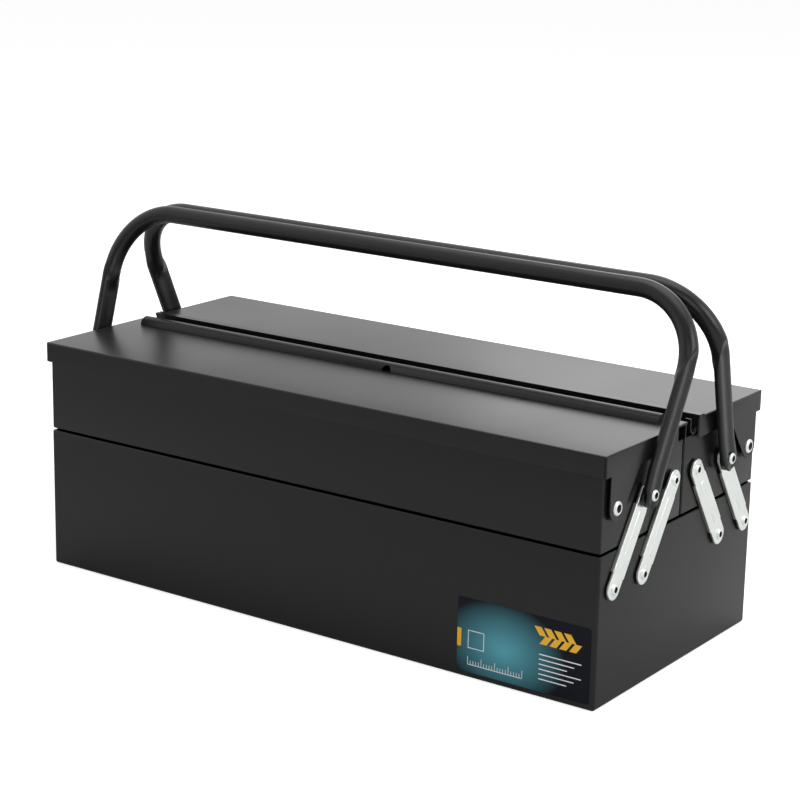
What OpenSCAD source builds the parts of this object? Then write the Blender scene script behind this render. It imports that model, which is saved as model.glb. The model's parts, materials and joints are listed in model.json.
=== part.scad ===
// Cantilever tool box of folded steel sheet: a bottom box, two lidded trays that swing out to the
// front and to the rear on riveted links, and two tube handles that meet over the middle.
// +X is the length, -Y the front, +Z up. The origin is the middle of the box's underside.

/* [Bottom box] */
// Length of the bottom box, end face to end face
box_l = 445; // [380:5:520]
// Width of the bottom box, front face to rear face
box_w = 198.5; // [186:0.5:216]
// Height of the bottom box
box_h = 98.3; // [88:0.1:120]
// Thickness of the steel sheet
sheet = 0.8; // [0.6:0.1:1]
// Outside radius of the folded edges of the box
fold_r = 2; // [1.5:0.1:2.5]
// Depth of the hem folded down inside a rim
hem_h = 7; // [5:0.5:10]

/* [Trays] */
// Height of a tray
tray_h = 50.3; // [44:0.1:60]
// Gap between the box rim and the trays
tray_lift = 1.4; // [1.4:0.1:4]
// Distance that the trays stand in from the box faces
tray_inset = 0.4; // [0.3:0.1:2]
// Outside radius of the folded edges of the trays
tray_fold_r = 1.2; // [1.1:0.1:2.5]
// Gap between the two trays
tray_split = 1.6; // [1:0.1:3]

/* [Lids] */
// Height of the lid tops above the tray rims
lid_rise = 11.4; // [10:0.1:16]
// Outside radius of the folded edges of the lids
lid_fold_r = 1.2; // [1.1:0.1:2.5]
// Overhang of the lids past the end faces of the box
lid_over_end = 2.5; // [2.3:0.1:3]
// Overhang of the lids past the front and rear faces of the box
lid_over_side = 1.4; // [1.3:0.1:3]
// Depth of the lid skirts
skirt_h = 13.6; // [12:0.1:16]
// Distance of the lid hinge in from the lid's outer face
hinge_in = 15; // [12:0.1:16]
// Depth of the lid hinge under the lid's top
hinge_drop = 35; // [30:0.1:40]
// Radius of the round end of a lid ear
ear_r = 8.2; // [7:0.1:10]
// Width of a lid ear where it leaves the skirt
ear_w = 34.5; // [28:0.5:44]
// Width of the relief between the middle of the box and the end skirts
skirt_relief = 13; // [10:0.5:16]
// Open seam between two skirts at a lid corner
seam = 0.5; // [0.3:0.1:0.8]

/* [Middle of the lids] */
// Width of the half-round strip on the front lid
strip_w = 12; // [10:0.5:14]
// Height of the strip
strip_h = 5; // [4:0.5:6]
// Distance of the strip's front edge from the middle of the box
strip_out = 17; // [16:0.5:22]
// Distance that the strip stops short of each lid end
strip_short = 13; // [8:0.5:24]
// Width of the notch in the strip
notch_w = 7.5; // [5:0.5:10]
// Place of the notch along the box
notch_x = 6; // [-40:1:40]
// Height of the raised lip along the rear lid
lip_h = 1.2; // [1:0.1:3]
// Width of the lip
lip_w = 6; // [4:0.5:10]
// Depth of the ledge under the lip
ledge_drop = 5; // [4:0.1:7]
// Width of the rolled gutter at each end of the ledge
gutter_w = 9.4; // [7:0.1:10]
// Length of the rolled gutters
gutter_l = 4; // [3:0.5:8]

/* [Links] */
// Distance between the two pivots of a link
link_l = 62.2; // [58:0.1:70]
// Lean of the links from upright when the box is shut
link_lean = 33.9; // [28:0.1:38]
// Width of a link between its folded edges
link_w = 15; // [14:0.1:17]
// Width of a link's round ends
link_end_w = 13.6; // [12:0.1:14]
// Thickness of a link
link_t = 1.5; // [1.2:0.1:2]
// Depth of the edges folded along a link
link_edge = 0.9; // [0.6:0.1:1]
// Distance from a pivot to where the folded edges start
link_edge_start = 9; // [8:0.5:14]
// Width of the rib pressed along the middle of a link
rib_w = 3; // [2:0.1:4]
// Height of the rib
rib_h = 0.4; // [0.2:0.1:0.5]
// Distance from a pivot to the end of the rib
rib_start = 12; // [10:0.5:18]
// Height of the lower link pivots
pivot_z = 75.3; // [66:0.1:82]
// Distance of the outer lower pivots in from the box faces
pivot_in = 13.95; // [11:0.05:18]
// Spacing of the two links of a tray
pivot_pitch = 35.8; // [32:0.1:38]

/* [Handles] */
// Diameter of the handle tube
tube_d = 12.2; // [11:0.1:14]
// Wall of the handle tube
tube_wall = 1.2; // [1:0.1:1.6]
// Height of the middle of the grips
grip_z = 242.6; // [225:0.1:265]
// Gap between the two grips
grip_gap = 1.1; // [0.8:0.1:3]
// Bend radius at the middle of the tube
bend_r = 44.5; // [36:0.5:52]
// Outward lean of the handle legs, seen from the front
splay = 4.3; // [3.5:0.1:5]
// Width of the pressed legs
leg_w = 16.5; // [14:0.1:18]
// Thickness of the pressed legs
leg_t = 4.8; // [4.4:0.1:5.6]
// Depth of the channel pressed into a leg's outer face
channel = 0.7; // [0.4:0.1:0.9]

/* [Rivets] */
// Diameter of the rivet shanks
shank_d = 3.9; // [3.6:0.1:4.5]
// Diameter of the link rivet heads
link_head_d = 7; // [6:0.1:8]
// Diameter of the handle rivet heads
handle_head_d = 7.5; // [6.5:0.1:9]
// Diameter of the lid rivet heads
lid_head_d = 9.4; // [8:0.1:11]
// Height of the domed rivet heads
head_h = 1.4; // [1.1:0.1:1.6]
// Diameter of the hollow in a rivet
hollow_d = 2.4; // [1.6:0.1:3]
// Diameter of the washers
washer_d = 11; // [9:0.5:12]

/* [Label] */
// Length of the blank label on the front of the box
label_l = 96; // [60:1:120]
// Height of the label
label_h = 48.8; // [30:0.1:60]
// Distance of the label from the box's right end
label_end = 3.5; // [3:0.5:20]
// Height of the label's lower edge
label_z = 4; // [3:0.5:30]

/* [Clearances] */
// Radial play of a turning part on its rivet
pin_play = 0.05; // [0.03:0.01:0.1]
// Play between parts stacked on a rivet
side_play = 0.1; // [0.06:0.01:0.15]
// Gap between a lid flange and the tray rim under it
rest_play = 0.3; // [0.2:0.1:0.5]

/* [Hidden] */
// Steps in a quarter turn of a folded edge
fold_steps = 5;
label_t = 0.2;
label_r = 2;
// Past-the-face length of a cut
cut = 1;
tail_h = 1.2;
tail_d = link_head_d;

tray_l = box_l - 2 * tray_inset;
tray_z = box_h + tray_lift;
rim_z = tray_z + tray_h;
tray_out = box_w / 2 - tray_inset;
lid_l = box_l + 2 * lid_over_end;
lid_out = box_w / 2 + lid_over_side;
lid_z = rim_z + lid_rise;
hinge_y = lid_out - hinge_in;
hinge_z = lid_z - hinge_drop;
skirt_z = lid_z - skirt_h;
// The inner flange of each lid stands over the tray's inner wall
flange_y = tray_split / 2 + sheet / 2;
ledge_out = strip_out - strip_w / 4;
ledge_z = lid_z - ledge_drop;

low_y = box_w / 2 - pivot_in;
top_y = low_y - link_l * sin(link_lean);
top_z = pivot_z + link_l * cos(link_lean);

// Stack of parts on the rivets at the right end, from the walls outward
wall_x = box_l / 2;
tray_x = tray_l / 2;
lid_x = lid_l / 2;
link_x = wall_x + link_edge + 3 * side_play;
link_face = link_x + link_t;
leg_washer_t = 0.5;
leg_x = link_face + 2 * side_play + leg_washer_t;
leg_face = leg_x + leg_t;

grip_y = (tube_d + grip_gap) / 2;
handle_lean = atan2(top_y - grip_y, grip_z - top_z);
handle_h = norm([top_y - grip_y, grip_z - top_z]);
leg_mid = leg_x + leg_t / 2;
// A leg is flat against the box up to here, then leans out to the bend
flat_h = 14;
bend_h = handle_h - bend_r;
bend_start_h = bend_h - bend_r * sin(splay);
bend_start_x = leg_mid + tan(splay) * (bend_start_h - flat_h);
bend_x = bend_start_x - bend_r * cos(splay);
leg_len = (bend_start_h - flat_h) / cos(splay);
// Length over which the round tube is pressed down to the flat leg
press_l = 11;
slab = 0.5;
// Pieces of the tube lap by this much, the second a hair wider than the first
lap = 1;
lap_over = 0.06;
channel_r = 30;
channel_from = 2;
slot_t = leg_t - channel - 2 * tube_wall - 0.1;

// ---------- folded sheet ----------

function quarter(middle, r, from) =
    [for (i = [0:fold_steps]) middle + r * [cos(from + 90 * i / fold_steps), sin(from + 90 * i / fold_steps)]];

// Rectangle from lo to hi whose lower corners have radius r, and whose upper corners too if all is true
function pan_outline(lo, hi, r, all = false) = concat(
    quarter([lo[0] + r, lo[1] + r], r, 180),
    quarter([hi[0] - r, lo[1] + r], r, 270),
    all ? quarter([hi[0] - r, hi[1] - r], r, 0) : [hi],
    all ? quarter([lo[0] + r, hi[1] - r], r, 90) : [[lo[0], hi[1]]]);

// Block from lo to hi with round upright edges and round lower edges
module pan_block(lo, hi, r) {
    intersection() {
        translate([0, 0, lo[2]]) linear_extrude(hi[2] - lo[2])
            polygon(pan_outline([lo[0], lo[1]], [hi[0], hi[1]], r, all = true));
        translate([0, hi[1], 0]) rotate([90, 0, 0]) linear_extrude(hi[1] - lo[1])
            polygon(pan_outline([lo[0], lo[2]], [hi[0], hi[2]], r));
        translate([lo[0], 0, 0]) rotate([90, 0, 90]) linear_extrude(hi[0] - lo[0])
            polygon(pan_outline([lo[1], lo[2]], [hi[1], hi[2]], r));
    }
}

// Folded pan, open at the top, with a hem inside its rim
module pan(lo, hi, fold) {
    t = [sheet, sheet, sheet];
    difference() {
        pan_block(lo, hi, fold);
        pan_block(lo + t, hi + [-sheet, -sheet, cut], fold - sheet);
    }
    difference() {
        translate([0, 0, hi[2] - hem_h]) linear_extrude(hem_h) difference() {
            polygon(pan_outline([lo[0] + sheet, lo[1] + sheet], [hi[0] - sheet, hi[1] - sheet],
                fold - sheet, all = true));
            polygon(pan_outline([lo[0] + 2 * sheet, lo[1] + 2 * sheet],
                [hi[0] - 2 * sheet, hi[1] - 2 * sheet], fold - sheet, all = true));
        }
    }
}

// ---------- rivets ----------

// Parts that repeat at both ends of the box
module both_ends() {
    children();
    mirror([1, 0, 0]) children();
}

module rod_x(d, from, to) {
    translate([from, 0, 0]) rotate([0, 90, 0]) cylinder(d = d, h = to - from);
}

// Rivet along X: a tail behind the wall, a shank, and a hollow domed head that starts at seat
module rivet(wall_back, seat, head_d) {
    dome_r = (head_d * head_d / 4 + head_h * head_h) / (2 * head_h);
    length = seat - wall_back;
    translate([wall_back, 0, 0]) rotate([0, 90, 0]) rotate_extrude() difference() {
        union() {
            translate([0, -tail_h]) square([tail_d / 2, tail_h]);
            square([shank_d / 2, length]);
            intersection() {
                translate([0, length + head_h - dome_r]) circle(r = dome_r);
                translate([0, length]) square([head_d / 2, 2 * head_h]);
            }
        }
        translate([-cut, length - head_h]) square([cut + hollow_d / 2, 3 * head_h]);
    }
}

module washer(from, to) {
    difference() {
        rod_x(washer_d, from, to);
        rod_x(shank_d, from - cut, to + cut);
    }
}

// Cut for a rivet that holds in a wall, or for one that a part turns on
module bore(play) {
    rod_x(shank_d + 2 * play, wall_x - 20, wall_x + 20);
}

// ---------- bottom box ----------

module at_low_pivots() {
    for (side = [-1, 1], y = [low_y, low_y - pivot_pitch]) translate([0, side * y, pivot_z]) children();
}

module base_box() {
    color("#2e2e2d") difference() {
        pan([-box_l / 2, -box_w / 2, 0], [box_l / 2, box_w / 2, box_h], fold_r);
        both_ends() at_low_pivots() bore(0);
    }
}

module base_link_rivets() {
    color("#d8dad8") both_ends() at_low_pivots() rivet(wall_x - sheet, link_face + side_play, link_head_d);
}

module base_link_washers() {
    color("#333332") both_ends() at_low_pivots() washer(wall_x, link_x - side_play);
}

module blank_label() {
    lo = [box_l / 2 - label_end - label_l, label_z];
    color("#16242e") translate([0, -box_w / 2, 0]) rotate([90, 0, 0]) linear_extrude(label_t)
        polygon(pan_outline(lo, lo + [label_l, label_h], label_r, all = true));
}

// ---------- links ----------

// Shallow rib along the outer face of a link
module link_rib() {
    rib_r = (rib_w * rib_w / 4 + rib_h * rib_h) / (2 * rib_h);
    translate([0, 0, rib_start]) linear_extrude(link_l - 2 * rib_start) intersection() {
        translate([link_face + rib_h - rib_r, 0]) circle(r = rib_r);
        translate([link_face - link_t / 2, -rib_w / 2]) square([link_t, rib_w]);
    }
}

// Link at the right end, from its lower pivot at the origin up along Z
module link_plate() {
    difference() {
        union() {
            for (h = [0, link_l]) translate([0, 0, h]) rod_x(link_end_w, link_x, link_face);
            translate([link_x, -link_end_w / 2, 0]) cube([link_t, link_end_w, link_l]);
            translate([link_x, -link_w / 2, link_edge_start]) cube([link_t, link_w, link_l - 2 * link_edge_start]);
            for (side = [-1, 1])
                translate([link_x - link_edge, side * (link_w / 2 - link_t / 2) - link_t / 2, link_edge_start])
                    cube([link_edge + link_t, link_t, link_l - 2 * link_edge_start]);
            link_rib();
        }
        for (h = [0, link_l]) translate([0, 0, h]) bore(pin_play);
    }
}

// side is -1 for the front and 1 for the rear, inner is 0 or 1
module link(side, inner) {
    color("#dfe1df") translate([0, side * (low_y - inner * pivot_pitch), pivot_z])
        rotate([side * link_lean, 0, 0]) link_plate();
}

module left(side, inner) {
    mirror([1, 0, 0]) link(side, inner);
}

// ---------- trays ----------

module at_top_pivot(inner) {
    translate([0, -top_y + inner * pivot_pitch, top_z]) children();
}

module at_hinge() {
    translate([0, -hinge_y, hinge_z]) children();
}

// The parts of the front tray are drawn here, and those of the rear tray are their mirror images
module rear() {
    mirror([0, 1, 0]) children();
}

module tray() {
    color("#2e2e2d") difference() {
        pan([-tray_l / 2, -tray_out, tray_z], [tray_l / 2, -tray_split / 2, rim_z], tray_fold_r);
        both_ends() {
            at_top_pivot(0) bore(0);
            at_top_pivot(1) bore(0);
            at_hinge() bore(0);
        }
    }
}

module link_rivets() {
    color("#d8dad8") both_ends() at_top_pivot(1) rivet(tray_x - sheet, link_face + side_play, link_head_d);
}

module link_washers() {
    color("#333332") both_ends() at_top_pivot(1) washer(tray_x, link_x - side_play);
}

module handle_rivets() {
    color("#d8dad8") both_ends() at_top_pivot(0) rivet(tray_x - sheet, leg_face + side_play, handle_head_d);
}

module handle_washers() {
    color("#333332") both_ends() at_top_pivot(0) {
        washer(tray_x, link_x - side_play);
        washer(link_face + side_play, leg_x - side_play);
    }
}

module lid_rivets() {
    color("#d8dad8") both_ends() at_hinge() rivet(tray_x - sheet, lid_x + side_play, lid_head_d);
}

module lid_spacers() {
    color("#333332") both_ends() at_hinge() washer(tray_x, lid_x - sheet - side_play);
}

// ---------- lids ----------

// Outline of an ear in Y and Z, round the hinge and out to the skirt, tangent on its sloping edge
module ear_outline() {
    root = [ear_w - ear_r, skirt_z - hinge_z];
    tangent = atan2(root[1], root[0]) - acos(ear_r / norm(root));
    arc_steps = 12;
    polygon(concat(
        [for (i = [0:arc_steps]) ear_r * [cos(180 + (180 + tangent) * i / arc_steps),
                                          sin(180 + (180 + tangent) * i / arc_steps)]],
        [root, root + [0, lid_fold_r], [-ear_r, root[1] + lid_fold_r]]));
}

// Top, skirts and ears that both lids have, drawn for the front, with its inner edge at -inner
module lid_shell(inner) {
    lo = [-lid_x, -lid_out, lid_z];
    hi = [lid_x, -inner, lid_z - skirt_h];
    difference() {
        union() {
            translate([0, 0, 2 * lid_z]) mirror([0, 0, 1]) difference() {
                pan_block(lo, [hi[0], hi[1], lid_z + skirt_h], lid_fold_r);
                pan_block(lo + [sheet, sheet, sheet], [hi[0] - sheet, hi[1] - sheet, lid_z + skirt_h + cut],
                    lid_fold_r - sheet);
            }
            both_ends() translate([lid_x - sheet, 0, 0]) at_hinge()
                rotate([90, 0, 90]) linear_extrude(sheet) ear_outline();
        }
        // the end skirts stop short of the middle of the box
        both_ends() translate([lid_x - lid_fold_r, -skirt_relief, skirt_z - cut])
            cube([lid_fold_r + cut, skirt_relief, skirt_h + cut - lid_fold_r]);
        // the skirts meet in an open seam at the outer corners
        both_ends() translate([lid_x - sheet - seam, -lid_out - cut, skirt_z - cut])
            cube([seam, cut + sheet, skirt_h + cut - lid_fold_r]);
        both_ends() at_hinge() bore(pin_play);
    }
}

module front_lid() {
    color("#2e2e2d") difference() {
        lid_shell(flange_y - sheet / 2);
        // the inner flange is shallower, and stops over the rim of the tray
        translate([-lid_x + 2 * sheet, -flange_y - sheet, skirt_z - cut])
            cube([lid_l - 4 * sheet, 2 * sheet + flange_y, rim_z + rest_play - skirt_z + cut]);
    }
}

module front_lid_strip() {
    radius = (strip_w * strip_w / 4 + strip_h * strip_h) / (2 * strip_h);
    length = lid_l - 2 * strip_short;
    color("#2b2b2a") difference() {
        intersection() {
            translate([0, -strip_out + strip_w / 2, lid_z + strip_h - radius])
                rod_x(2 * radius, -length / 2, length / 2);
            translate([-lid_x, -strip_out - cut, lid_z]) cube([lid_l, strip_w + 2 * cut, 2 * strip_h]);
        }
        translate([0, -strip_out + strip_w / 2, lid_z + strip_h - radius])
            rod_x(2 * (radius - sheet), -length / 2 + sheet, length / 2 - sheet);
        translate([notch_x, -strip_out - cut, lid_z]) rotate([-90, 0, 0])
            cylinder(d = notch_w, h = cut + strip_w / 2);
    }
}

// Section of a gutter with a round bottom, from its round's middle up to height
module gutter_outline(r, height) {
    circle(r = r);
    translate([-r, 0]) square([2 * r, height]);
}

module rear_lid() {
    ledge_y = tray_split / 2;
    step_x = lid_x - 2 * sheet;
    // the ledge stops at the gutters, which it laps
    ledge_x = step_x - gutter_l + lap;
    color("#2e2e2d") {
        rear() difference() {
            lid_shell(ledge_out);
            translate([-lid_x + lid_fold_r, -ledge_out - sheet - cut / 10, skirt_z - cut])
                cube([lid_l - 2 * lid_fold_r, 2 * sheet, skirt_h + cut - lid_fold_r]);
        }
        // raised lip, step, ledge and inner flange
        translate([-lid_x, ledge_out, lid_z - sheet]) cube([lid_l, lip_w, lip_h + sheet]);
        translate([-step_x, ledge_out, ledge_z - sheet]) cube([2 * step_x, sheet, lid_z - ledge_z + sheet]);
        translate([-ledge_x, ledge_y, ledge_z - sheet]) cube([2 * ledge_x, ledge_out - ledge_y + sheet, sheet]);
        translate([-tray_x + 4 * sheet, ledge_y, rim_z + rest_play])
            cube([2 * (tray_x - 4 * sheet), sheet, ledge_z - rim_z - rest_play]);
        // rolled gutters at the ends of the ledge
        both_ends() translate([step_x - gutter_l, ledge_out + sheet - gutter_w / 2, ledge_z - sheet])
            rotate([90, 0, 90]) linear_extrude(gutter_l) difference() {
                gutter_outline(gutter_w / 2, ledge_drop + sheet);
                gutter_outline(gutter_w / 2 - sheet, ledge_drop + sheet + cut);
            }
    }
}

// ---------- handles ----------

// Flat oval across a leg, shrunk by inset
module leg_section(inset = 0) {
    t = leg_t - 2 * inset;
    w = leg_w - 2 * inset;
    for (side = [-1, 1]) translate([0, side * (w - t) / 2]) circle(d = t);
    translate([-t / 2, -(w - t) / 2]) square([t, w - t]);
}

// Bends and grip of the tube at diameter d, with the grip lapped a little into the bends
module bends_and_grip(d) {
    both_ends() translate([bend_x, 0, bend_h]) rotate([90, 0, 0]) rotate([0, 0, -splay])
        rotate_extrude(angle = 90 + splay) translate([bend_r, 0]) circle(d = d);
    translate([0, 0, handle_h]) rod_x(d + lap_over, -bend_x - lap, bend_x + lap);
}

// Part of a leg where the round tube goes over to the flat section
module press() {
    hull() {
        translate([0, 0, leg_len - press_l - slab]) linear_extrude(slab) leg_section();
        translate([0, 0, leg_len]) cylinder(d = tube_d + lap_over, h = slab);
    }
}

// The leg from its foot up, in the frame of its leaning part
module on_leg() {
    both_ends() translate([leg_mid, 0, flat_h]) rotate([0, splay, 0]) children();
}

module handle_solid() {
    // feet of the legs, flat against the box, with round ends
    both_ends() intersection() {
        translate([leg_mid, 0, -leg_w]) linear_extrude(leg_w + flat_h + lap) leg_section();
        union() {
            rod_x(leg_w, leg_x - cut, leg_face + cut);
            translate([leg_x - cut, -leg_w / 2, 0]) cube([leg_t + 2 * cut, leg_w, flat_h + 2 * lap]);
        }
    }
    on_leg() {
        linear_extrude(leg_len - press_l) leg_section();
        press();
    }
    bends_and_grip(tube_d);
}

// Hollow of the tube, from the open slot in one foot round to the other
module handle_hollow() {
    // narrower than the bore, so that it opens cleanly into it
    slot_w = tube_d - 3 * tube_wall;
    both_ends() translate([leg_x + tube_wall, -slot_w / 2, -leg_w]) cube([slot_t, slot_w, leg_w + flat_h]);
    on_leg() translate([leg_x + tube_wall - leg_mid, -slot_w / 2, -cut]) cube([slot_t, slot_w, leg_len + cut + lap]);
    bends_and_grip(tube_d - 2 * tube_wall);
}

// Shallow channel down the outer face of each leg, above its foot
module handle_channels() {
    on_leg() translate([leg_t / 2 + channel_r - channel, 0, channel_from])
        cylinder(r = channel_r, h = leg_len - press_l - channel_from, $fn = 128);
}

module handle() {
    color("#262625") translate([0, -top_y, top_z]) rotate([-handle_lean, 0, 0]) difference() {
        handle_solid();
        handle_hollow();
        handle_channels();
        both_ends() bore(pin_play);
    }
}

$fn = 48;

base_box();
base_link_rivets();
base_link_washers();
blank_label();
left(-1, 0);  // front_outer_link_left
link(-1, 0);  // front_outer_link_right
left(-1, 1);  // front_inner_link_left
link(-1, 1);  // front_inner_link_right
left(1, 0);  // rear_outer_link_left
link(1, 0);  // rear_outer_link_right
left(1, 1);  // rear_inner_link_left
link(1, 1);  // rear_inner_link_right
tray();  // front_tray
link_rivets();  // front_link_rivets
link_washers();  // front_link_washers
handle_rivets();  // front_handle_rivets
handle_washers();  // front_handle_washers
lid_rivets();  // front_lid_rivets
lid_spacers();  // front_lid_spacers
rear() tray();  // rear_tray
rear() link_rivets();  // rear_link_rivets
rear() link_washers();  // rear_link_washers
rear() handle_rivets();  // rear_handle_rivets
rear() handle_washers();  // rear_handle_washers
rear() lid_rivets();  // rear_lid_rivets
rear() lid_spacers();  // rear_lid_spacers
front_lid();
front_lid_strip();
rear_lid();
handle();  // front_handle
rear() handle();  // rear_handle
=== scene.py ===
import json
import math

import bmesh
import bpy
from mathutils import Matrix, Vector


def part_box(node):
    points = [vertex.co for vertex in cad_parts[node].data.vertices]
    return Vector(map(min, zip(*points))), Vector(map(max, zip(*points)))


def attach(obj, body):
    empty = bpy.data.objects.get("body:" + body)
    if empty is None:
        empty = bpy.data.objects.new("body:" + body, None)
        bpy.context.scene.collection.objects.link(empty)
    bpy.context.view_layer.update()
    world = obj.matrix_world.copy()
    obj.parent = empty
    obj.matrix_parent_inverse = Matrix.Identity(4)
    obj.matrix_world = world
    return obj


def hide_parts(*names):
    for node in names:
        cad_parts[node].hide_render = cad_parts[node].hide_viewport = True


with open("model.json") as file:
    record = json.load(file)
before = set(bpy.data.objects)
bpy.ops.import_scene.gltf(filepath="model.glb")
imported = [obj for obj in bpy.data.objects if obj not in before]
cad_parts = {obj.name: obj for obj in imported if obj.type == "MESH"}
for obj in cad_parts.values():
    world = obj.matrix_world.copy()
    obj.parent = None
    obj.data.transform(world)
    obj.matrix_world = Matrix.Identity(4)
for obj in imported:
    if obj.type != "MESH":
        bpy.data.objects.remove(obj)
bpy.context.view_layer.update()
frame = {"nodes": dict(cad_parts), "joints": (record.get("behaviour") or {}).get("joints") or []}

# The photo table: a white sweep under plain soft light.
# The box stands on it on its own flat underside.
# The camera stands 1.5 m off, to the front right and a little above.
bpy.ops.object.select_all(action="DESELECT")


def linear(hex_colour):
    """A hex colour as linear red, green and blue, fully opaque."""
    parts = [int(hex_colour[i:i + 2], 16) / 255 for i in (0, 2, 4)]
    return [p / 12.92 if p <= 0.04045 else ((p + 0.055) / 1.055) ** 2.4 for p in parts] + [1.0]


def new_material(name):
    """A new material and its shader."""
    material = bpy.data.materials.new(name)
    material.use_nodes = True
    return material, material.node_tree.nodes["Principled BSDF"]


def add_node(tree, kind, settings, links):
    """Adds a shader node, sets its inputs or properties, and links its inputs to other nodes' outputs."""
    node = tree.nodes.new(kind)
    for key, value in settings.items():
        if isinstance(key, int) or key in node.inputs:
            node.inputs[key].default_value = value
        else:
            setattr(node, key, value)
    for key, source in links.items():
        tree.links.new(source, node.inputs[key])
    return node


camera_azimuth, camera_elevation, camera_roll = math.radians(35.06), math.radians(14.93), math.radians(1.107)
camera_right = Vector((math.cos(camera_azimuth), math.sin(camera_azimuth), 0))
camera_back = Vector((math.sin(camera_azimuth) * math.cos(camera_elevation),
                      -math.cos(camera_azimuth) * math.cos(camera_elevation), math.sin(camera_elevation)))
camera_up = camera_back.cross(camera_right)
camera_axes = Matrix((camera_right * math.cos(camera_roll) + camera_up * math.sin(camera_roll),
                      camera_up * math.cos(camera_roll) - camera_right * math.sin(camera_roll),
                      camera_back)).transposed()
camera_place = (0.8403, -1.1888, 0.5253)
camera_data = bpy.data.cameras.new("photo_camera")
camera_data.lens = 100
camera_data.sensor_width = 36
camera = bpy.data.objects.new("photo_camera", camera_data)
camera.matrix_world = Matrix.Translation(camera_place) @ camera_axes.to_4x4()
bpy.context.collection.objects.link(camera)
bpy.context.scene.camera = camera
bpy.context.scene.view_settings.view_transform = "Standard"

world = bpy.data.worlds.new("studio_light")
world.use_nodes = True
bpy.context.scene.world = world
world_path = add_node(world.node_tree, "ShaderNodeLightPath", {}, {})
world_seen = add_node(world.node_tree, "ShaderNodeMath", {"operation": "MAXIMUM"},
                      {0: world_path.outputs["Is Camera Ray"], 1: world_path.outputs["Is Glossy Ray"]})
# the room behind the camera is dark, which the tubes and rivet heads mirror
world_way = add_node(world.node_tree, "ShaderNodeTexCoord", {}, {})
world_facing = add_node(world.node_tree, "ShaderNodeVectorMath", {"operation": "DOT_PRODUCT", 1: camera_back},
                        {0: world_way.outputs["Generated"]})
world_room = add_node(world.node_tree, "ShaderNodeMapRange",
                      {"From Min": 0.3, "From Max": 0.8, "To Min": 1, "To Max": 0.25},
                      {"Value": world_facing.outputs["Value"]})
world_level = add_node(world.node_tree, "ShaderNodeMapRange", {"To Min": 0.4, "To Max": 1.0},
                       {"Value": world_seen.outputs[0]})
world_strength = add_node(world.node_tree, "ShaderNodeMath", {"operation": "MULTIPLY"},
                          {0: world_level.outputs[0], 1: world_room.outputs[0]})
world_background = world.node_tree.nodes["Background"]
world_background.inputs["Color"].default_value = (1, 1, 1, 1)
world.node_tree.links.new(world_strength.outputs[0], world_background.inputs["Strength"])

# every lamp points at the middle of the bottom box at the height of its rim
lamp_aim = Vector((0, 0, 0.1))
for lamp_name, lamp_place, lamp_size, lamp_watts in (
        ("softbox_over", (0.1, 0.1, 1.9), 1.6, 13),
        ("softbox_right", (1.7, 0.1, 1.0), 1.0, 11),
        ("softbox_front", (1.0, -1.7, 0.9), 1.2, 7),
        ("softbox_back", (-0.4, 1.5, 0.9), 0.9, 3.5)):
    lamp_data = bpy.data.lights.new(lamp_name, "AREA")
    lamp_data.size = lamp_size
    lamp_data.energy = lamp_watts
    lamp = bpy.data.objects.new(lamp_name, lamp_data)
    lamp.location = lamp_place
    lamp.rotation_euler = (Vector(lamp_place) - lamp_aim).to_track_quat("Z", "Y").to_euler()
    bpy.context.collection.objects.link(lamp)

bpy.ops.mesh.primitive_plane_add(size=12, location=(0, 0, 0))
floor = bpy.context.object
floor.name = "floor"
floor_paper, floor_shader = new_material("white_paper_sweep")
floor_shader.inputs["Base Color"].default_value = linear("F4F4F4")
floor_shader.inputs["Roughness"].default_value = 0.9
floor_shader.inputs["Specular IOR Level"].default_value = 0
floor_shader.inputs["Emission Color"].default_value = (1, 1, 1, 1)
floor_path = add_node(floor_paper.node_tree, "ShaderNodeLightPath", {}, {})
floor_glow = add_node(floor_paper.node_tree, "ShaderNodeMath", {"operation": "MULTIPLY", 1: 0.68},
                      {0: floor_path.outputs["Is Camera Ray"]})
floor_paper.node_tree.links.new(floor_glow.outputs[0], floor_shader.inputs["Emission Strength"])
floor.data.materials.append(floor_paper)

# The bottom box: one blank of 0.8 mm steel sheet, folded up on four sides.
# The rim is hemmed: the sheet is turned back inside and pressed down, which leaves a round upper edge.
# It is powder coated in satin black, which leaves a fine grain and soft round folds.
sheet = 0.0008
# the wall and the hem lie back to back with a hair of air between them
sheet_drawn = 0.00075
box_low, box_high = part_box("base_box")

black_coat, black_shader = new_material("satin_black_powder_coat")
coat_place = add_node(black_coat.node_tree, "ShaderNodeTexCoord", {}, {})
# the grain of the powder is about 0.6 mm from crest to crest
coat_grain = add_node(black_coat.node_tree, "ShaderNodeTexNoise", {"Scale": 1600, "Detail": 3, "Roughness": 0.6},
                      {"Vector": coat_place.outputs["Object"]})
# slow changes over the sheet, about 90 mm apart
coat_waves = add_node(black_coat.node_tree, "ShaderNodeTexNoise", {"Scale": 11, "Detail": 1},
                      {"Vector": coat_place.outputs["Object"]})
coat_tone = add_node(black_coat.node_tree, "ShaderNodeMix", {"data_type": "RGBA"},
                     {0: coat_grain.outputs["Fac"]})
coat_tone.inputs[6].default_value = linear("101010")
coat_tone.inputs[7].default_value = linear("191918")
black_coat.node_tree.links.new(coat_tone.outputs[2], black_shader.inputs["Base Color"])
coat_rough = add_node(black_coat.node_tree, "ShaderNodeMapRange", {"To Min": 0.27, "To Max": 0.37},
                      {"Value": coat_waves.outputs["Fac"]})
black_coat.node_tree.links.new(coat_rough.outputs[0], black_shader.inputs["Roughness"])
coat_bump = add_node(black_coat.node_tree, "ShaderNodeBump", {"Strength": 0.1, "Distance": 0.0001},
                     {"Height": coat_grain.outputs["Fac"]})
black_coat.node_tree.links.new(coat_bump.outputs["Normal"], black_shader.inputs["Normal"])
black_shader.inputs["IOR"].default_value = 1.4


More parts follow.
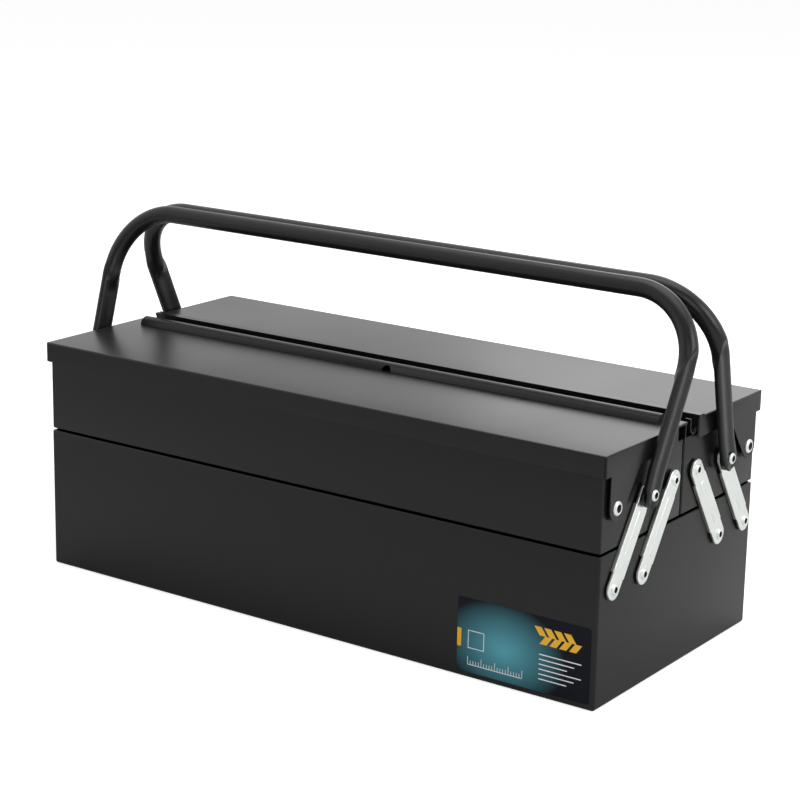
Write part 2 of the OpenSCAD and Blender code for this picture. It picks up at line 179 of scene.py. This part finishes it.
def start_edit(piece, kind):
    """Opens a piece for editing by VERT, EDGE or FACE, with nothing selected."""
    bpy.ops.object.select_all(action="DESELECT")
    piece.select_set(True)
    bpy.context.view_layer.objects.active = piece
    bpy.ops.object.mode_set(mode="EDIT")
    bpy.ops.mesh.select_mode(type=kind)
    bpy.ops.mesh.select_all(action="DESELECT")


def pick(piece, kind, wanted):
    """Selects only the verts, edges or faces all of whose corners are wanted."""
    bpy.ops.mesh.select_all(action="DESELECT")
    bpy.ops.mesh.select_mode(type={"verts": "VERT", "edges": "EDGE", "faces": "FACE"}[kind])
    shape = bmesh.from_edit_mesh(piece.data)
    for part in getattr(shape, kind):
        corners = [part.co] if kind == "verts" else [v.co for v in part.verts]
        if all(wanted(co) for co in corners):
            part.select_set(True)
    shape.select_flush_mode()
    bmesh.update_edit_mesh(piece.data)


def end_edit(piece, smooth_under=35):
    """Closes the edit, with soft shading over every edge flatter than smooth_under degrees."""
    bpy.ops.object.mode_set(mode="OBJECT")
    bpy.ops.object.select_all(action="DESELECT")
    piece.select_set(True)
    bpy.context.view_layer.objects.active = piece
    bpy.ops.object.shade_smooth_by_angle(angle=math.radians(smooth_under))


def modify(piece, kind, **settings):
    """Adds a modifier and applies it."""
    modifier = piece.modifiers.new(kind.lower(), kind)
    for key, value in settings.items():
        setattr(modifier, key, value)
    bpy.ops.object.select_all(action="DESELECT")
    piece.select_set(True)
    bpy.context.view_layer.objects.active = piece
    bpy.ops.object.modifier_apply(modifier=modifier.name)


def join_pieces(made, name):
    """Joins the pieces into the first of them, under a new name."""
    bpy.ops.object.select_all(action="DESELECT")
    for piece in made:
        piece.select_set(True)
    bpy.context.view_layer.objects.active = made[0]
    bpy.ops.object.join()
    made[0].name = name
    return made[0]


def finish_piece(piece, material, slot, body, *nodes):
    """Gives a finished piece its coat and its body, in place of the CAD nodes that it stands for."""
    if material:
        piece.data.materials.clear()
        piece.data.materials.append(material)
    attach(piece, body)
    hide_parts(*nodes)


def hemmed_pan(name, low, high, fold, hem):
    """A pan folded from one sheet, open at the top, with a hem inside its rim."""
    size = high - low
    middle = (low + high) / 2
    bpy.ops.mesh.primitive_cube_add(size=1, location=middle)
    pan = bpy.context.object
    pan.scale = size
    pan.name = name
    bpy.ops.object.transform_apply(location=True, rotation=True, scale=True)
    start_edit(pan, "FACE")
    pick(pan, "faces", lambda co: co.z > high.z - sheet)
    bpy.ops.mesh.delete(type="ONLY_FACE")
    # every edge but the rim is folded round
    pick(pan, "edges", lambda co: co.z > high.z - sheet)
    bpy.ops.mesh.select_all(action="INVERT")
    bpy.ops.mesh.bevel(offset=fold, offset_type="OFFSET", segments=6, affect="EDGES")
    # the hem: half a turn inwards at the rim, then straight down
    pick(pan, "edges", lambda co: co.z > high.z - sheet / 2)
    bpy.ops.transform.translate(value=(0, 0, -sheet))
    inset, height = 0, high.z - sheet
    turns = 6
    hem_steps = [(sheet * (1 - math.cos(math.pi * i / turns)), high.z - sheet + sheet * math.sin(math.pi * i / turns))
                 for i in range(1, turns + 1)] + [(2 * sheet, high.z - hem)]
    for next_inset, next_height in hem_steps:
        bpy.ops.mesh.extrude_region_move(TRANSFORM_OT_translate={"value": (0, 0, next_height - height)})
        bpy.ops.transform.resize(value=((size.x - 2 * next_inset) / (size.x - 2 * inset),
                                        (size.y - 2 * next_inset) / (size.y - 2 * inset), 1),
                                 center_override=middle)
        inset, height = next_inset, next_height
    end_edit(pan)
    modify(pan, "SOLIDIFY", thickness=sheet_drawn, offset=-1, use_even_offset=True)
    return pan


bottom_box = hemmed_pan("bottom_box", box_low, box_high, fold=0.002, hem=0.007)
finish_piece(bottom_box, black_coat, "black_paint", "base", "base_box")

# The rivets: semi-tubular steel rivets in bright zinc, clinched through the walls.
# The rolled end shows outside as a domed ring round a hollow, coloured dark as painted shade.
# Each pivot's rivets come in pairs, one at each end of the box.
bright_zinc, zinc_shader = new_material("bright_zinc_plate")
zinc_place = add_node(bright_zinc.node_tree, "ShaderNodeTexCoord", {}, {})
# the passivated zinc has faint blue and yellow patches about 8 mm across
zinc_patches = add_node(bright_zinc.node_tree, "ShaderNodeTexNoise", {"Scale": 120, "Detail": 2},
                        {"Vector": zinc_place.outputs["Object"]})
zinc_tone = add_node(bright_zinc.node_tree, "ShaderNodeMix", {"data_type": "RGBA"}, {0: zinc_patches.outputs["Fac"]})
zinc_tone.inputs[6].default_value = linear("EEF6F6")
zinc_tone.inputs[7].default_value = linear("FAFAF2")
bright_zinc.node_tree.links.new(zinc_tone.outputs[2], zinc_shader.inputs["Base Color"])
zinc_shader.inputs["Metallic"].default_value = 1
# rolling and tumbling leave fine scratches, about 0.3 mm apart
zinc_scratches = add_node(bright_zinc.node_tree, "ShaderNodeTexNoise", {"Scale": 3300, "Detail": 2},
                          {"Vector": zinc_place.outputs["Object"]})
zinc_rough = add_node(bright_zinc.node_tree, "ShaderNodeMapRange", {"To Min": 0.26, "To Max": 0.4},
                      {"Value": zinc_scratches.outputs["Fac"]})
bright_zinc.node_tree.links.new(zinc_rough.outputs[0], zinc_shader.inputs["Roughness"])
zinc_bump = add_node(bright_zinc.node_tree, "ShaderNodeBump", {"Strength": 0.1, "Distance": 0.00005},
                     {"Height": zinc_scratches.outputs["Fac"]})
bright_zinc.node_tree.links.new(zinc_bump.outputs["Normal"], zinc_shader.inputs["Normal"])

# the washers and spacers are coloured near-black: partly a dark finish of their own, partly painted shade for the
# shade in the gaps where they sit
washer_black_and_shade, washer_shade_shader = new_material("black_phosphated_steel")
washer_shade_place = add_node(washer_black_and_shade.node_tree, "ShaderNodeTexCoord", {}, {})
# the roughness varies in a grain about 0.2 mm across
washer_shade_grain = add_node(washer_black_and_shade.node_tree, "ShaderNodeTexNoise", {"Scale": 5000, "Detail": 1},
                           {"Vector": washer_shade_place.outputs["Object"]})
washer_shade_rough = add_node(washer_black_and_shade.node_tree, "ShaderNodeMapRange", {"To Min": 0.5, "To Max": 0.7},
                           {"Value": washer_shade_grain.outputs["Fac"]})
washer_black_and_shade.node_tree.links.new(washer_shade_rough.outputs[0], washer_shade_shader.inputs["Roughness"])
washer_shade_shader.inputs["Base Color"].default_value = linear("121212")
washer_shade_shader.inputs["IOR"].default_value = 1.3

# every washer and spacer takes the near-black colour, which is partly painted shade
for washer_node in [name for name in frame["nodes"] if "washer" in name or "spacer" in name]:
    frame["nodes"][washer_node].data.materials.clear()
    frame["nodes"][washer_node].data.materials.append(washer_black_and_shade)

# inside the hollow the steel is coloured dark as painted shade, standing in for the shade that falls in the hollow
rivet_hollow_painted_shade, hollow_shade_shader = new_material("darkened_bare_steel")
hollow_shade_place = add_node(rivet_hollow_painted_shade.node_tree, "ShaderNodeTexCoord", {}, {})
hollow_shade_grain = add_node(rivet_hollow_painted_shade.node_tree, "ShaderNodeTexNoise", {"Scale": 1500, "Detail": 2},
                      {"Vector": hollow_shade_place.outputs["Object"]})
hollow_shade_rough = add_node(rivet_hollow_painted_shade.node_tree, "ShaderNodeMapRange", {"To Min": 0.45, "To Max": 0.65},
                      {"Value": hollow_shade_grain.outputs["Fac"]})
rivet_hollow_painted_shade.node_tree.links.new(hollow_shade_rough.outputs[0], hollow_shade_shader.inputs["Roughness"])
# this dark base colour is painted shade
hollow_shade_shader.inputs["Base Color"].default_value = linear("2A2C2C")
hollow_shade_shader.inputs["Metallic"].default_value = 0.8


def stock(node):
    """The low and high corners of each separate solid of a CAD node."""
    shape = bmesh.new()
    shape.from_mesh(frame["nodes"][node].data)
    bmesh.ops.remove_doubles(shape, verts=shape.verts, dist=1e-6)
    left_over = set(shape.verts)
    solids = []
    while left_over:
        island, edge_of = set(), [left_over.pop()]
        while edge_of:
            vert = edge_of.pop()
            island.add(vert)
            fresh = {e.other_vert(vert) for e in vert.link_edges} - island
            left_over -= fresh
            edge_of += fresh
        low = Vector([min(v.co[i] for v in island) for i in range(3)])
        high = Vector([max(v.co[i] for v in island) for i in range(3)])
        solids.append((low, high))
    shape.free()
    return solids


# the shank, the hollow in the rolled end, the tail inside the wall and the head outside it
rivet_shank_r, rivet_hollow_r, rivet_tail, rivet_head_height = 0.00195, 0.0015, 0.0012, 0.0014


def zinc_rivets(node, body):
    """Rivets in the places of a CAD node's, all with the same head, as one piece."""
    made = []
    for low, high in stock(node):
        end = 1 if high.x > 0 else -1
        inner, outer = min(abs(low.x), abs(high.x)), max(abs(low.x), abs(high.x))
        head_r = (high.z - low.z) / 2
        seat = outer - rivet_head_height
        # radius and place along the rivet, from the closed tail to the bottom of the hollow
        profile = [(0.8 * head_r, inner), (head_r, inner + 0.0003), (head_r, inner + rivet_tail),
                   (rivet_shank_r, inner + rivet_tail), (rivet_shank_r, seat), (head_r, seat),
                   (head_r, seat + 0.2 * rivet_head_height),
                   (0.92 * head_r, seat + 0.6 * rivet_head_height), (0.78 * head_r, seat + 0.9 * rivet_head_height),
                   (0.66 * head_r, outer), (0.56 * head_r, outer - 0.06 * rivet_head_height),
                   (0.48 * head_r, seat + 0.6 * rivet_head_height),
                   (rivet_hollow_r, seat + 0.2 * rivet_head_height), (rivet_hollow_r, seat - rivet_head_height)]
        bpy.ops.mesh.primitive_circle_add(vertices=32, radius=profile[0][0], fill_type="NGON",
                                          location=(profile[0][1], 0, 0), rotation=(0, math.pi / 2, 0))
        rivet = bpy.context.object
        bpy.ops.object.transform_apply(location=True, rotation=True, scale=True)
        start_edit(rivet, "FACE")
        bpy.ops.mesh.select_all(action="SELECT")
        for (was_r, was_x), (next_r, next_x) in zip(profile, profile[1:]):
            bpy.ops.mesh.extrude_region_move(TRANSFORM_OT_translate={"value": (next_x - was_x, 0, 0)})
            bpy.ops.transform.resize(value=(1, next_r / was_r, next_r / was_r), center_override=(next_x, 0, 0))
        bpy.ops.mesh.select_all(action="SELECT")
        bpy.ops.mesh.normals_make_consistent(inside=False)
        end_edit(rivet, 50)
        rivet.data.materials.append(bright_zinc)
        rivet.data.materials.append(rivet_hollow_painted_shade)
        # the faces of the hollow get the dark painted shade
        for face in rivet.data.polygons:
            from_axis = math.hypot(face.center.y, face.center.z)
            if from_axis < 0.52 * head_r and face.center.x > seat - 1.1 * rivet_head_height:
                face.material_index = 1
        rivet.data.transform(Matrix.Translation((0, (low.y + high.y) / 2, (low.z + high.z) / 2))
                             @ Matrix.Diagonal((end, 1, 1, 1)))
        if end < 0:
            rivet.data.flip_normals()
        made.append(rivet)
    finish_piece(join_pieces(made, node.replace("rivets", "rivet_set")), None, "zinc", body, node)


zinc_rivets("base_link_rivets", "base")
for side in ("front", "rear"):
    for kind in ("link", "handle", "lid"):
        zinc_rivets(f"{side}_{kind}_rivets", f"{side}_tray_set")

# The links: eight straps stamped from 1.5 mm steel and zinc plated.
# The middle is wider than the round ends, its edges are folded in, and a rib is pressed along it.
# One strap is drawn upright over its lower pivot, then laid in each of the eight places.
link_length, link_half_end, link_half_mid = 0.0622, 0.0068, 0.0075
link_thick, link_fold, link_shoulder = 0.0015, 0.0009, 0.009
# the shoulder widens over a short run, and a narrow border along each side is folded in
shoulder_run, link_border = 0.0006, 0.0012
rib_half, rib_high, rib_start = 0.0015, 0.0004, 0.012
link_outer_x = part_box("front_outer_link_right")[1].x - rib_high
link_lean = math.radians(33.9)

bpy.ops.mesh.primitive_circle_add(vertices=32, radius=link_half_end, fill_type="NGON",
                                  location=(link_outer_x - link_thick, 0, 0), rotation=(0, math.pi / 2, 0))
strap = bpy.context.object
strap.name = "link_strap"
bpy.ops.object.transform_apply(location=True, rotation=True, scale=True)
start_edit(strap, "VERT")
pick(strap, "verts", lambda co: co.z > 0.0001)
bpy.ops.transform.translate(value=(0, 0, link_length))
for height in (link_shoulder - shoulder_run, link_shoulder, rib_start, link_length - rib_start,
               link_length - link_shoulder, link_length - link_shoulder + shoulder_run):
    bpy.ops.mesh.select_all(action="SELECT")
    bpy.ops.mesh.bisect(plane_co=(0, 0, height), plane_no=(0, 0, 1))
pick(strap, "verts", lambda co: link_shoulder - 1e-5 < co.z < link_length - link_shoulder + 1e-5)
bpy.ops.transform.resize(value=(1, link_half_mid / link_half_end, 1), center_override=(0, 0, 0))
for across in (-link_half_mid + link_border, -rib_half, rib_half, link_half_mid - link_border):
    pick(strap, "faces", lambda co: link_shoulder - 1e-5 < co.z < link_length - link_shoulder + 1e-5)
    bpy.ops.mesh.bisect(plane_co=(0, across, 0), plane_no=(0, 1, 0))
bpy.ops.mesh.select_all(action="SELECT")
bpy.ops.mesh.extrude_region_move(TRANSFORM_OT_translate={"value": (link_thick, 0, 0)})
# the outer edge is rounded by the stamping
bpy.ops.mesh.select_mode(type="EDGE")
bpy.ops.mesh.region_to_loop()
bpy.ops.mesh.bevel(offset=0.0004, segments=3, affect="EDGES")
pick(strap, "faces", lambda co: (co.x > link_outer_x - 1e-5 and abs(co.y) < rib_half + 1e-5
                                 and rib_start - 1e-5 < co.z < link_length - rib_start + 1e-5))
# the rib rises in two steps, each narrower than the last
for rise, narrow in ((0.0003, 0.72), (0.0001, 0.6)):
    bpy.ops.mesh.extrude_region_move(TRANSFORM_OT_translate={"value": (rise, 0, 0)})
    bpy.ops.transform.resize(value=(1, narrow, 0.985), center_override=(0, 0, link_length / 2))
pick(strap, "faces", lambda co: (co.x < link_outer_x - link_thick + 1e-5
                                 and abs(co.y) > link_half_mid - link_border - 1e-4
                                 and link_shoulder - 1e-5 < co.z < link_length - link_shoulder + 1e-5))
bpy.ops.mesh.extrude_region_move(TRANSFORM_OT_translate={"value": (-link_fold, 0, 0)})
bpy.ops.mesh.select_all(action="SELECT")
bpy.ops.mesh.normals_make_consistent(inside=False)
end_edit(strap, 30)

for side, out in (("front", -1), ("rear", 1)):
    for place in ("outer", "inner"):
        for hand, end in (("left", -1), ("right", 1)):
            node = f"{side}_{place}_link_{hand}"
            node_low, node_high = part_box(node)
            link = strap.copy()
            link.data = strap.data.copy()
            link.name = f"{side}_{place}_strap_{hand}"
            bpy.context.collection.objects.link(link)
            # the lower pivot is half a strap's end in from the box of the leaning strap
            pivot_y = (node_high.y if out > 0 else node_low.y) - out * link_half_end
            pivot_z = node_low.z + link_half_end
            link.data.transform(Matrix.Translation((0, pivot_y, pivot_z))
                                @ Matrix.Rotation(out * link_lean, 4, "X") @ Matrix.Diagonal((end, 1, 1, 1)))
            if end < 0:
                link.data.flip_normals()
            finish_piece(link, bright_zinc, "zinc", f"{side}_{place}_links", node)
bpy.data.objects.remove(strap)

# The trays: two shallow pans of the same sheet, folded and hemmed like the bottom box.
# They hang on the links side by side over it, and swing out to the front and to the rear.
for side in ("front", "rear"):
    tray_low, tray_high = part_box(f"{side}_tray")
    tray = hemmed_pan(f"{side}_tray_pan", tray_low, tray_high, fold=0.0012, hem=0.007)
    finish_piece(tray, black_coat, "black_paint", f"{side}_tray_set", f"{side}_tray")


# The lids: folded sheet like the trays, each with a skirt all round and an ear at each end.
# The ears turn on rivets in the tray ends. The front lid carries a half-round closing strip.
def eased_sheet(node, body, edge):
    """A CAD node's own sheet with the raw edges eased by the coating, as a piece in its place."""
    piece = frame["nodes"][node].copy()
    piece.data = frame["nodes"][node].data.copy()
    piece.name = node + "_coated"
    bpy.context.collection.objects.link(piece)
    start_edit(piece, "VERT")
    bpy.ops.mesh.select_all(action="SELECT")
    bpy.ops.mesh.remove_doubles(threshold=1e-6)
    bpy.ops.mesh.dissolve_limited(angle_limit=math.radians(0.5))
    end_edit(piece)
    modify(piece, "BEVEL", width=edge, segments=2, limit_method="ANGLE", angle_limit=math.radians(40),
           use_clamp_overlap=True)
    bpy.ops.object.shade_smooth_by_angle(angle=math.radians(35))
    finish_piece(piece, black_coat, "black_paint", body, node)


eased_sheet("front_lid", "front_lid_set", 0.00025)
eased_sheet("rear_lid", "rear_lid_set", 0.00025)
eased_sheet("front_lid_strip", "front_lid_set", 0.0002)

# The label: a printed gloss film on the front, in navy with a teal glow.
# Its design is plain: yellow chevrons, a yellow tab, white rules and a ruler without figures.
# Each ink is laid on the film as one thin printed layer.
film_low, film_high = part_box("blank_label")
label_film, film_shader = new_material("printed_gloss_film")
film_place = add_node(label_film.node_tree, "ShaderNodeTexCoord", {}, {})
# the glow is centred 34 mm from the left end and fades out over 45 mm
film_glow_place = add_node(label_film.node_tree, "ShaderNodeMapping", {
    "vector_type": "TEXTURE", "Location": (film_low.x + 0.034, film_low.y, film_low.z + 0.02),
    "Scale": (0.045, 0.045, 0.032)}, {"Vector": film_place.outputs["Object"]})
film_glow = add_node(label_film.node_tree, "ShaderNodeTexGradient", {"gradient_type": "SPHERICAL"},
                     {"Vector": film_glow_place.outputs["Vector"]})
film_tone = add_node(label_film.node_tree, "ShaderNodeMix", {"data_type": "RGBA"}, {0: film_glow.outputs["Fac"]})
film_tone.inputs[6].default_value = linear("070B17")
film_tone.inputs[7].default_value = linear("63B6C6")
label_film.node_tree.links.new(film_tone.outputs[2], film_shader.inputs["Base Color"])
# a faint ripple where the film follows the paint under it, about 5 mm from crest to crest
film_ripple = add_node(label_film.node_tree, "ShaderNodeTexNoise", {"Scale": 200, "Detail": 1},
                       {"Vector": film_place.outputs["Object"]})
film_bump = add_node(label_film.node_tree, "ShaderNodeBump", {"Strength": 0.08, "Distance": 0.0001},
                     {"Height": film_ripple.outputs["Fac"]})
label_film.node_tree.links.new(film_bump.outputs["Normal"], film_shader.inputs["Normal"])
film_shader.inputs["Roughness"].default_value = 0.28
film_shader.inputs["IOR"].default_value = 1.25

bpy.ops.mesh.primitive_plane_add(size=1, rotation=(math.pi / 2, 0, 0), location=(
    (film_low.x + film_high.x) / 2, film_high.y, (film_low.z + film_high.z) / 2))
label = bpy.context.object
label.scale = (film_high.x - film_low.x, film_high.z - film_low.z, 1)
label.name = "label"
bpy.ops.object.transform_apply(location=True, rotation=True, scale=True)
start_edit(label, "VERT")
bpy.ops.mesh.select_all(action="SELECT")
bpy.ops.mesh.bevel(offset=0.002, segments=5, affect="VERTICES")
bpy.ops.mesh.select_all(action="SELECT")
bpy.ops.mesh.extrude_region_move(TRANSFORM_OT_translate={"value": (0, film_low.y - film_high.y, 0)})
bpy.ops.mesh.select_all(action="SELECT")
bpy.ops.mesh.normals_make_consistent(inside=False)
end_edit(label)
finish_piece(label, label_film, "label_film", "base", "blank_label")


# the ink stands this much proud of the film
ink_thick = 0.00003


def printed(name, colour, patches):
    """One ink of the label: patches of (left, low, width, height, lean) in mm from the label's lower left."""
    ink, ink_shader = new_material(name)
    ink_place = add_node(ink.node_tree, "ShaderNodeTexCoord", {}, {})
    # the screen that the ink is printed through leaves a tooth of 0.25 mm
    ink_tooth = add_node(ink.node_tree, "ShaderNodeTexNoise", {"Scale": 4000, "Detail": 1},
                         {"Vector": ink_place.outputs["Object"]})
    ink_rough = add_node(ink.node_tree, "ShaderNodeMapRange", {"To Min": 0.3, "To Max": 0.4},
                         {"Value": ink_tooth.outputs["Fac"]})
    ink.node_tree.links.new(ink_rough.outputs[0], ink_shader.inputs["Roughness"])
    ink_shader.inputs["Base Color"].default_value = linear(colour)
    made = []
    for left, low, width, height, lean in patches:
        bpy.ops.mesh.primitive_plane_add(size=0.001, rotation=(math.pi / 2, 0, 0), location=(
            film_low.x + (left + width / 2) / 1000, film_low.y, film_low.z + (low + height / 2) / 1000))
        patch = bpy.context.object
        patch.scale = (width, height, 1)
        bpy.ops.object.transform_apply(location=True, rotation=True, scale=True)
        start_edit(patch, "VERT")
        pick(patch, "verts", lambda co: co.z > film_low.z + (low + height / 2) / 1000)
        bpy.ops.transform.translate(value=(lean / 1000, 0, 0))
        bpy.ops.mesh.select_all(action="SELECT")
        bpy.ops.mesh.extrude_region_move(TRANSFORM_OT_translate={"value": (0, -ink_thick, 0)})
        bpy.ops.mesh.select_all(action="SELECT")
        bpy.ops.mesh.normals_make_consistent(inside=False)
        end_edit(patch)
        made.append(patch)
    finish_piece(join_pieces(made, name), ink, "label_film", "base")


chevrons = [(60 + 7 * i, 31 + 5.5 * half, 5, 5.5, -4 if half else 4) for i in range(4) for half in (0, 1)]
printed("label_yellow_ink", "FFC322", chevrons + [(0, 16, 3, 12, 0)])
ruler = [(8, 5, 40, 0.5, 0)] + [(8 + 2 * i, 5.5, 0.4, 5 if i % 5 == 0 else 2.5, 0) for i in range(21)]
rules = [(60, 24 - 3.2 * i, 30 - 5 * (i % 3), 0.7, 0) for i in range(6)]
frames = [(8, 16, 12, 0.5, 0), (8, 27.5, 12, 0.5, 0), (8, 16.5, 0.5, 11, 0), (19.5, 16.5, 0.5, 11, 0)]
printed("label_white_ink", "FAFCFC", ruler + rules + frames)

# The handles: 12 mm steel tube, bent to a hoop, with both legs pressed flat into a channel.
# Each leg ends in a round open foot that turns on the rivet of an outer link.
# They are painted in smooth satin black.
tube_paint, tube_shader = new_material("satin_black_tube_enamel")
enamel_place = add_node(tube_paint.node_tree, "ShaderNodeTexCoord", {}, {})
# the enamel runs to an even film with slow waves about 12 mm apart
enamel_waves = add_node(tube_paint.node_tree, "ShaderNodeTexNoise", {"Scale": 80, "Detail": 2},
                        {"Vector": enamel_place.outputs["Object"]})
enamel_tone = add_node(tube_paint.node_tree, "ShaderNodeMix", {"data_type": "RGBA"}, {0: enamel_waves.outputs["Fac"]})
enamel_tone.inputs[6].default_value = linear("131414")
enamel_tone.inputs[7].default_value = linear("191A1A")
tube_paint.node_tree.links.new(enamel_tone.outputs[2], tube_shader.inputs["Base Color"])
enamel_rough = add_node(tube_paint.node_tree, "ShaderNodeMapRange", {"To Min": 0.26, "To Max": 0.36},
                        {"Value": enamel_waves.outputs["Fac"]})
tube_paint.node_tree.links.new(enamel_rough.outputs[0], tube_shader.inputs["Roughness"])
tube_shader.inputs["IOR"].default_value = 1.42

tube_r, tube_wall, bend_r = 0.0061, 0.0012, 0.0445
leg_half_w, leg_half_t = 0.00825, 0.0024
flat_height = 0.014
# the pressing starts this far up the outside of the bend, this much lower on the inside, and takes this length
press_reach, press_skew, press_length = 0.015, 0.018, 0.009
groove_half, groove_out, groove_in = 0.006, 0.0011, 0.0005
splay = math.radians(4.3)
handle_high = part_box("front_handle")[1]
handle_pivot = Vector(next(j["pos_m"] for j in frame["joints"] if j["name"] == "front_handle_hinge"))
grip_place = Vector((0, handle_high.y - tube_r, handle_high.z - tube_r))
handle_reach = (grip_place - handle_pivot).length
handle_lean = math.atan2(grip_place.y - handle_pivot.y, grip_place.z - handle_pivot.z)
# the foot stands clear of the link, on a washer
foot_clearance = 0.0007
leg_x = link_outer_x + foot_clearance + leg_half_t
bend_z = handle_reach - bend_r
bend_end = Vector((0, 0, bend_z - bend_r * math.sin(splay)))
bend_end.x = leg_x + math.tan(splay) * (bend_end.z - flat_height)
bend_x = bend_end.x - bend_r * math.cos(splay)
leg_direction = Vector((-math.sin(splay), 0, -math.cos(splay)))
leg_outward = Vector((math.cos(splay), 0, -math.sin(splay)))
leg_length = (bend_end.z - flat_height) / math.cos(splay)

# half a handle is drawn upright over its pivot, from the middle of the grip to one foot
bpy.ops.mesh.primitive_circle_add(vertices=40, radius=tube_r, fill_type="NOTHING",
                                  location=(0, 0, handle_reach), rotation=(0, math.pi / 2, 0))
hoop = bpy.context.object
hoop.name = "handle_hoop"
bpy.ops.object.transform_apply(location=True, rotation=True, scale=True)
start_edit(hoop, "VERT")
bpy.ops.mesh.select_all(action="SELECT")
bpy.ops.mesh.extrude_region_move(TRANSFORM_OT_translate={"value": (bend_x, 0, 0)})
bpy.ops.mesh.spin(steps=36, angle=math.pi / 2 + splay, center=(bend_x, 0, bend_z), axis=(0, -1, 0))
pick(hoop, "verts", lambda co: (co - bend_end).dot(leg_direction) > -1e-5)
leg_rings = 16
rings = [(bend_end + leg_direction * (leg_length * (i + 1) / leg_rings), leg_outward) for i in range(leg_rings)]
rings += [(Vector((leg_x, 0, height)), Vector((1, 0, 0))) for height in (0.7 * flat_height, 0.15 * flat_height, 0)]
ring_middle = bend_end
for next_middle, _ in rings:
    bpy.ops.mesh.extrude_region_move(TRANSFORM_OT_translate={"value": next_middle - ring_middle})
    ring_middle = next_middle
end_edit(hoop)


def pressed(out, across, amount):
    """Moves a point of the round tube to the pressed section, for an amount from 0 to 1."""
    angle = math.atan2(across, out)
    flat_across = leg_half_w * math.sin(angle)
    flat_out = math.copysign(leg_half_t * (1 - abs(math.sin(angle)) ** 4.5) ** (1 / 4.5), out)
    if abs(flat_across) < groove_half:
        depth = groove_out if out > 0 else -groove_in
        flat_out -= depth * (0.5 + 0.5 * math.cos(math.pi * flat_across / groove_half))
    return out + (flat_out - out) * amount, across + (flat_across - across) * amount


ring_steps = [(middle - bend_end).dot(leg_direction) for middle, _ in rings]
# the first part of the bend stays round
round_turn = 0.5
for vert in hoop.data.vertices:
    step = (vert.co - bend_end).dot(leg_direction)
    turn = math.atan2(vert.co.x - bend_x, vert.co.z - bend_z)
    if step > 1e-5:
        at = min(range(len(rings)), key=lambda i: abs(ring_steps[i] - step))
        middle, outward = rings[at]
        out = (vert.co - middle).dot(leg_outward)
    elif vert.co.x > bend_x and turn > round_turn:
        at = 0
        outward = Vector((math.sin(turn), 0, math.cos(turn)))
        middle = Vector((bend_x, 0, bend_z)) + bend_r * outward
        out = (vert.co - middle).dot(outward)
        step = (turn - math.pi / 2 - splay) * bend_r
    else:
        continue
    so_far = (step - press_skew * (0.5 - 0.5 * out / tube_r) + press_reach) / press_length
    so_far = min(max(so_far, 0), 1)
    out, across = pressed(out, vert.co.y, so_far ** 2 * (3 - 2 * so_far))
    vert.co = middle + outward * out + Vector((0, across, 0))
    if at == len(rings) - 1:
        vert.co.z = -math.sqrt(max(leg_half_w ** 2 - across ** 2, 0))
modify(hoop, "MIRROR", merge_threshold=1e-5)
start_edit(hoop, "FACE")
bpy.ops.mesh.select_all(action="SELECT")
bpy.ops.mesh.normals_make_consistent(inside=False)
end_edit(hoop)
modify(hoop, "SOLIDIFY", thickness=tube_wall, offset=-1, use_even_offset=True)

for side, out in (("front", -1), ("rear", 1)):
    handle = hoop.copy()
    handle.data = hoop.data.copy()
    handle.name = f"{side}_handle_tube"
    bpy.context.collection.objects.link(handle)
    handle.data.transform(Matrix.Translation((0, out * abs(handle_pivot.y), handle_pivot.z))
                          @ Matrix.Rotation(out * handle_lean, 4, "X"))
    finish_piece(handle, tube_paint, "handle_paint", f"{side}_handle_set", f"{side}_handle")
bpy.data.objects.remove(hoop)
